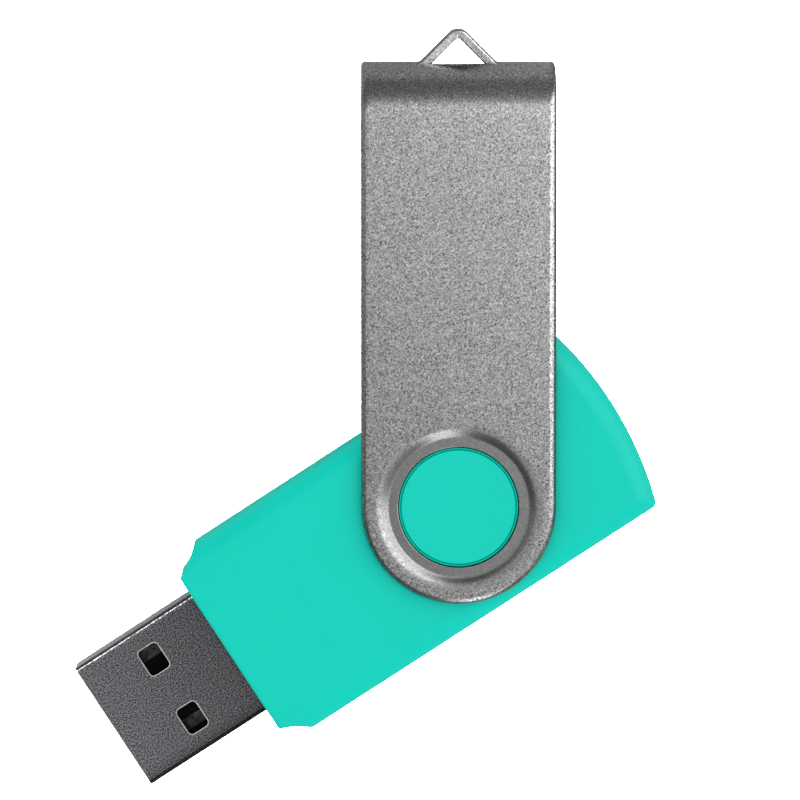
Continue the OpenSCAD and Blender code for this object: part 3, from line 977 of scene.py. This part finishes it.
def cover_aluminium():
    """Bead-blasted aluminium: bright grain, fainter where the ring is pressed down, with painted shade there, near
    the pivot and on the long edges.
    """
    s = Surface("cover_aluminium")
    # The place on the cover: its distance from the pivot, and along and across the strip
    x, y, _ = s.place_xyz()
    dx = s.math("SUBTRACT", x, pivot.x * MM)
    dy = s.math("SUBTRACT", y, pivot.y * MM)
    radius = s.math("SQRT", s.math("ADD", s.math("MULTIPLY", dx, dx), s.math("MULTIPLY", dy, dy)))
    along_x, along_y = s.math("MULTIPLY", dx, cover_along.x), s.math("MULTIPLY", dy, cover_along.y)
    across_x, across_y = s.math("MULTIPLY", dx, cover_along.y), s.math("MULTIPLY", dy, cover_along.x)
    along = s.math("ADD", along_x, along_y)
    across = s.math("SUBTRACT", across_y, across_x)

    # Grain, and bright flecks on it
    pressed = s.fit(radius, (DISH_FLOOR_R + 0.3) * MM, (DISH_RIM_R + 0.1) * MM, 0.3, 1)
    fine, coarse = s.math("MULTIPLY", s.noise(0.11, 1), 0.6), s.math("MULTIPLY", s.noise(0.18, 1), 0.4)
    grain = s.math("MULTIPLY", s.math("SUBTRACT", s.math("ADD", fine, coarse), 0.5), pressed)
    flecks = s.math("MULTIPLY", s.fit(s.cells(0.13), 0.86, 1), pressed)
    base = s.mix(s.fit(grain, -0.18, 0.18), COVER_DARK, COVER_LIGHT)
    base = s.mix(s.math("MULTIPLY", flecks, 0.5), base, WHITE)

    # Painted shade: darker near the pivot, in the pressed ring, near one long edge and on the rounding of the
    # other
    edge = COVER_HALF_W * MM
    rounded = (COVER_HALF_W - SHEET_EDGE) * MM
    painted_shade = s.math("MULTIPLY", s.fit(along, 0, COVER_REACH * MM, 0.66, 1), s.fit(pressed, 0.3, 1, 0.75, 1))
    painted_shade = s.math("MULTIPLY", painted_shade, s.fit(across, -edge, edge, 1, 0.84))
    painted_shade = s.math("MULTIPLY", painted_shade, s.fit(across, -edge, -rounded, 0.36, 1))
    base = s.mix(painted_shade, BLACK, base)

    # Paler on worn edges and on the eye
    worn = s.math("MULTIPLY", s.edges(0.12), s.fit(s.noise(0.5, 2), 0.35, 0.7, 0, 0.2))
    on_eye = s.fit(along, COVER_REACH * MM, (COVER_REACH + 1) * MM, 0, 0.1)
    s.set(Base_Color=s.mix(s.math("MAXIMUM", worn, on_eye), base, WHITE))
    s.set(Metallic=1.0)
    s.set(Roughness=s.fit(grain, -0.15, 0.15, 0.34, 0.23))
    s.bump(grain, 0.02, 0.6)
    return s.material


def plug_steel():
    """Plated steel: fine grain on the broad faces, smooth folds, painted shade, pale edges from wear and painted
    highlight, and sides pale with painted reflection.
    """
    s = Surface("plug_steel")
    x, y, z = s.place_xyz()
    height = s.math("ABSOLUTE", z)
    fine, coarse = s.math("MULTIPLY", s.noise(0.09, 0), 0.7), s.math("MULTIPLY", s.noise(0.14, 0), 0.3)
    grain = s.math("ADD", fine, coarse)
    # Painted shade: darker towards the casing and along one long edge
    painted_shade = s.fit(x, CASING_FRONT * MM, 0, 0.6, 1.05)
    painted_shade = s.math("MULTIPLY", painted_shade, s.fit(y, 4.6 * MM, 5.7 * MM, 1, 0.6))
    base = s.mix(painted_shade, BLACK, s.mix(s.fit(grain, 0.4, 0.61), PLUG_DARK, PLUG_LIGHT))
    # Pale edges are partly wear and partly painted highlight; the sides are painted pale as a painted reflection
    # of the floor
    worn = s.math("MULTIPLY", s.edges(0.16), s.fit(s.noise(0.6, 2), 0.3, 0.6, 0.7, 1))
    painted_side_reflection = s.fit(height, 2 * MM, 1.4 * MM)
    s.set(Base_Color=s.mix(s.math("MAXIMUM", worn, painted_side_reflection), base, PLUG_WEAR_AND_HIGHLIGHT))
    s.set(Metallic=1.0)
    face = s.fit(height, (PLUG_HALF_H - 0.06) * MM, (PLUG_HALF_H - 0.005) * MM)
    s.set(Roughness=s.math("ADD", s.fit(face, 0, 1, 0.12, 0.3), s.fit(grain, 0.35, 0.65, 0.06, 0)))
    s.bump(s.math("MULTIPLY", grain, face), 0.01, 0.5)
    return s.material


def moulded(name, dark, light, size, roughness, depth, worn_colour, shine=0.25):
    """A moulded or fired surface: mottled colour, uneven roughness and paler edges.

    The size and the depth of its lumps are in millimetres.
    """
    s = Surface(name)
    lumps = s.noise(size, 4)
    worn = s.math("MULTIPLY", s.edges(0.04), s.fit(s.noise(size * 2, 2), 0.4, 0.65, 0, 0.6))
    s.set(Base_Color=s.mix(worn, s.mix(s.fit(lumps, 0.35, 0.65), dark, light), worn_colour))
    s.set(Roughness=s.fit(lumps, 0.3, 0.7, roughness - 0.08, roughness + 0.08))
    s.set(Specular_IOR_Level=shine)
    s.bump(lumps, depth, 0.6)
    return s.material


def plated(name, dark, light, size, roughness, stretch=(1, 1, 1)):
    """Bare or plated metal: tarnish clouds, fine lines and bright edges.

    The size of the lines is in millimetres, and the stretch lengthens them along the axes.
    """
    s = Surface(name)
    tarnish = s.noise(size * 6, 3)
    lines = s.noise(size, 2, stretch)
    share = s.math("ADD", s.math("MULTIPLY", tarnish, 0.6), s.math("MULTIPLY", lines, 0.4))
    worn = s.math("MULTIPLY", s.edges(0.03), 0.6)
    bright = tuple(min(1.0, c * 1.25) for c in light[:3]) + (1,)
    s.set(Base_Color=s.mix(worn, s.mix(s.fit(share, 0.35, 0.65), dark, light), bright))
    s.set(Metallic=1.0)
    s.set(Roughness=s.fit(share, 0.3, 0.7, roughness + 0.1, roughness - 0.05))
    s.bump(lines, 0.002, 0.5)
    return s.material


def board_laminate():
    """Green solder mask over faint copper tracks."""
    s = Surface("board_laminate")
    tracks = s.add("ShaderNodeTexBrick", offset=0.35, squash=0.6, squash_frequency=3)
    s.put(tracks.inputs["Vector"], s.place)
    for name, value in (
        ("Scale", 1 / (4 * MM)), ("Mortar Size", 0.028), ("Mortar Smooth", 0.2),
        ("Color1", BLACK), ("Color2", BLACK), ("Mortar", WHITE),
    ):
        s.put(tracks.inputs[name], value)
    weave = s.noise(0.25, 2, (3, 1, 1))
    base = s.mix(s.fit(weave, 0.3, 0.7), colour(8, 78, 44), colour(14, 96, 56))
    s.set(Base_Color=s.mix(s.math("MULTIPLY", tracks.outputs["Color"], 0.8), base, colour(60, 140, 78)))
    s.set(Roughness=s.fit(s.noise(1.5, 2), 0.3, 0.7, 0.24, 0.36))
    s.bump(s.math("ADD", tracks.outputs["Color"], s.math("MULTIPLY", weave, 0.2)), 0.02, 0.5)
    return s.material


def materials():
    """One material for each slot of the record, by the slot's name."""
    drawn, rolled = (6, 1, 1), (1, 5, 1)
    # Dark and light colour, size of the lumps, roughness, depth of the lumps, colour of worn edges, shine
    moulded_looks = {
        "insulator_plastic": (colour(10, 10, 11), colour(18, 18, 20), 0.3, 0.5, 0.004, grey(50), 0.05),
        "chip_moulding": (colour(18, 18, 20), colour(34, 34, 37), 0.1, 0.6, 0.006, grey(85)),
        "crystal_ceramic": (colour(70, 60, 52), colour(98, 86, 76), 0.15, 0.55, 0.004, grey(140)),
        "capacitor_ceramic": (colour(140, 112, 80), colour(172, 142, 104), 0.12, 0.5, 0.003, grey(190)),
        "resistor_coating": (colour(21, 21, 24), colour(34, 34, 38), 0.2, 0.28, 0.002, grey(110)),
        "ferrite": (colour(52, 52, 56), colour(78, 78, 84), 0.08, 0.6, 0.004, grey(130)),
    }
    # Dark and light colour, size of the lines, roughness, stretch of the lines
    plated_looks = {
        # The contacts' nickel is painted dark: painted shade of the hollow shell round them
        "contact_nickel": (grey(10), grey(75), 0.08, 0.3, drawn),
        "pad_gold": (colour(178, 142, 62), colour(222, 188, 104), 0.08, 0.24, drawn),
        "tinned_lead": (grey(150), grey(205), 0.1, 0.3),
        "crystal_steel": (grey(160), grey(208), 0.12, 0.22, rolled),
        "solder": (grey(158), grey(215), 0.2, 0.2),
    }
    made = {
        "casing_plastic": casing_plastic(),
        "cover_aluminium": cover_aluminium(),
        "plug_steel": plug_steel(),
        "board_laminate": board_laminate(),
    }
    made |= {name: moulded(name, *numbers) for name, numbers in moulded_looks.items()}
    made |= {name: plated(name, *numbers) for name, numbers in plated_looks.items()}
    return made


# ---------------------------------------------------------------- pieces

def soften_cad(node):
    """Small rounded edges on a carried-over CAD node."""
    flat = node.modifiers.new("flat faces", "DECIMATE")
    flat.decimate_type = "DISSOLVE"
    flat.angle_limit = math.radians(CAD_FLAT)
    edges = node.modifiers.new("rounded edges", "BEVEL")
    edges.limit_method = "ANGLE"
    edges.angle_limit = math.radians(CAD_SHARP)
    edges.width = CAD_EDGE * MM
    edges.segments = 2
    edges.harden_normals = True


def dress(piece, material):
    """Gives a piece one material."""
    piece.data.materials.clear()
    piece.data.materials.append(material)


casing_halves = (upper_casing(), lower_casing())
cover = swivel_cover()
plug = plug_shell()
slots = materials()
for part in record["subparts"]:
    node = frame["nodes"][part["node"]]
    dress(node, slots[part["material_slot"]])
    if not node.hide_render:
        soften_cad(node)
for half in casing_halves:
    dress(half, slots["casing_plastic"])
dress(cover, slots["cover_aluminium"])
dress(plug, slots["plug_steel"])


# ---------------------------------------------------------------- stage, light and camera

# The camera's directions: back towards it, and right and up in its picture
view_back = Vector((
    math.sin(CAMERA_AZIMUTH) * math.cos(CAMERA_ELEVATION),
    -math.cos(CAMERA_AZIMUTH) * math.cos(CAMERA_ELEVATION),
    math.sin(CAMERA_ELEVATION),
))
view_right = cover_along.cross(view_back).normalized()
view_up = view_back.cross(view_right)
aim = pivot + CAMERA_AIM


def look(right, up, back, place):
    """A matrix that faces an object along minus back, at a place in millimetres."""
    turn = Matrix((right, up, back)).transposed().to_4x4()
    return Matrix.Translation(place * MM) @ turn


def add_camera():
    """A camera at the chosen angle, with picture-up along the cover."""
    data = bpy.data.cameras.new("camera")
    data.lens = CAMERA_LENS
    data.sensor_width = SENSOR_W
    data.clip_start = CLIP_START * MM
    camera = bpy.data.objects.new("camera", data)
    bpy.context.scene.collection.objects.link(camera)
    camera.matrix_world = look(view_right, view_up, view_back, aim + view_back * CAMERA_DISTANCE)
    bpy.context.scene.camera = camera


def softbox(name, direction, width, height, radiance, lights_matt=False, only=None):
    """A soft rectangular light that faces the object.

    Its direction is given as right, up and back towards the camera, in the picture. It shows in shiny
    surfaces, and lights matt ones too if lights_matt is true. It can be made to light only one piece.
    """
    right, up, back = direction
    towards = (view_right * right + view_up * up + view_back * back).normalized()
    level = view_up if abs(up) < 0.9 else view_right
    side = level.cross(towards).normalized()
    data = bpy.data.lights.new(name, "AREA")
    data.shape = "RECTANGLE"
    data.size = width * MM
    data.size_y = height * MM
    data.energy = radiance * math.pi * width * height * MM * MM
    light = bpy.data.objects.new(name, data)
    bpy.context.scene.collection.objects.link(light)
    light.matrix_world = look(side, towards.cross(side), towards, aim + towards * LIGHT_DISTANCE)
    light.visible_camera = False
    light.visible_diffuse = lights_matt
    if only:
        light.light_linking.receiver_collection = bpy.data.collections.new(name)
        light.light_linking.receiver_collection.objects.link(only)


def by_ray(tree, camera, reflection, otherwise):
    """A grey level that depends on what looks at it: the camera, a reflection or a matt surface."""
    path = tree.nodes.new("ShaderNodeLightPath").outputs
    level = otherwise
    for seen_by, value in (("Is Glossy Ray", reflection), ("Is Camera Ray", camera)):
        pick = tree.nodes.new("ShaderNodeMapRange")
        tree.links.new(path[seen_by], pick.inputs[0])
        if isinstance(level, float):
            pick.inputs[3].default_value = level
        else:
            tree.links.new(level, pick.inputs[3])
        pick.inputs[4].default_value = value
        level = pick.outputs[0]
    return level


def add_floor():
    """A plain pale floor under the lowest face. The camera sees it brighter than the object does."""
    low = cad_box[0][2] / MM - FLOOR_GAP
    bm = bmesh.new()
    bmesh.ops.create_grid(bm, x_segments=1, y_segments=1, size=FLOOR_HALF_W)
    floor = mesh_object("floor", bm)
    floor.data.transform(Matrix.Translation((aim.x, aim.y, low)))
    floor.data.transform(Matrix.Scale(MM, 4))
    material = bpy.data.materials.new("floor_paper")
    material.use_nodes = True
    tree = material.node_tree
    shader = tree.nodes["Principled BSDF"]
    shader.inputs["Roughness"].default_value = 1
    shader.inputs["Specular IOR Level"].default_value = 0
    tree.links.new(by_ray(tree, *FLOOR_LEVELS), shader.inputs["Base Color"])
    floor.data.materials.append(material)


def add_world():
    """Pale surroundings, which light the object dimly from all round."""
    world = bpy.data.worlds.new("studio")
    bpy.context.scene.world = world
    world.use_nodes = True
    tree = world.node_tree
    background = tree.nodes["Background"]
    background.inputs["Color"].default_value = WHITE
    tree.links.new(by_ray(tree, *WORLD_LEVELS), background.inputs["Strength"])
    world.cycles.sampling_method = "NONE"


add_camera()
add_floor()
add_world()
softbox("overhead", direction=(0, -0.07, 1), width=1300, height=1300, radiance=0.72)
softbox("right", direction=(1, 0.3, 0.85), width=1200, height=900, radiance=3.3)
softbox("front", direction=(0.2, -1, 0.4), width=900, height=250, radiance=4, only=cover)
softbox("left", direction=(-1, 0.1, 0.45), width=1200, height=500, radiance=0.35, only=cover)
softbox("fill", direction=(1, -0.6, 0.6), width=700, height=700, radiance=0.5, lights_matt=True)
softbox("plug_side", direction=(-0.53, 0.85, 1.03), width=800, height=220, radiance=11, only=plug)
softbox("plug_tip", direction=(-0.85, -0.53, 0.6), width=500, height=400, radiance=9, only=plug)
bpy.context.scene.view_settings.view_transform = "Standard"
